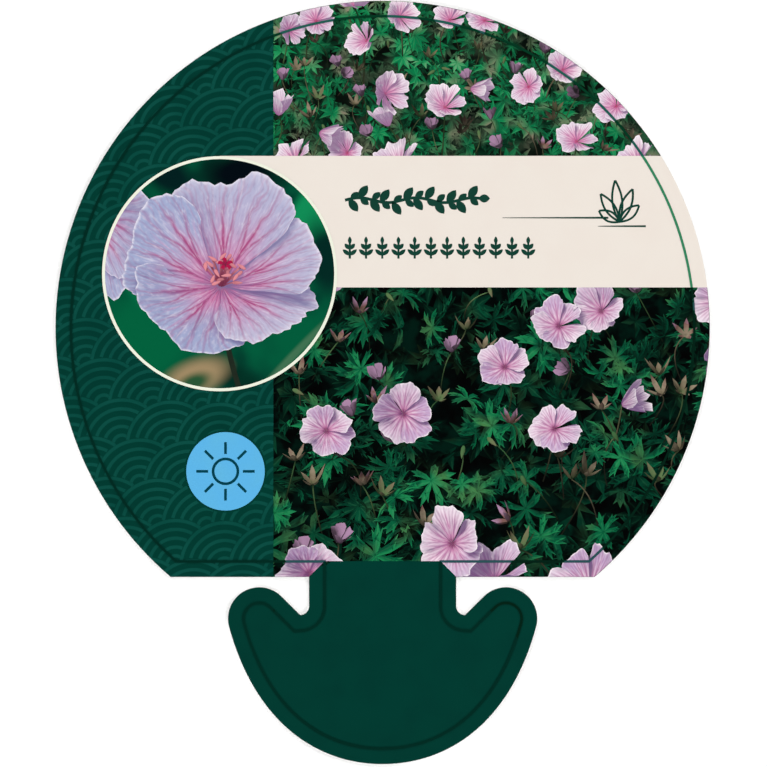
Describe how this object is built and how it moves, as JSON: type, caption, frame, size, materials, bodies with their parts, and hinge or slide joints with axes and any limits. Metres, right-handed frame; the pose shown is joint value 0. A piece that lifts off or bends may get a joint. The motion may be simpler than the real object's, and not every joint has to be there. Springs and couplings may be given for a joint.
{
  "type": "slot-in plant label",
  "caption": "Flat die-cut plastic plant label: a printed disc with a straight lower edge and an anchor-shaped tab that locks in a pot's slot.",
  "frame": {"origin": "centre of the disc on the sheet's back face", "axes": "+Y up the label, from the tab towards the top of the disc; +Z out of the printed face"},
  "size_m": [0.0818, 0.0954, 0.0006],
  "materials": {
    "white_plastic": "satin rigid polystyrene sheet, white all through, cut edge slightly rounded",
    "green_print": "satin dark green ink, solid on the tab and with a tone-on-tone line pattern on the side panel",
    "cream_print": "satin warm cream ink",
    "blue_print": "satin sky blue ink",
    "picture_print": "satin printed picture of green foliage and pale pink veined blooms"
  },
  "bodies": {
    "root": {"label_sheet": "white_plastic"}
  },
  "joints": []
}
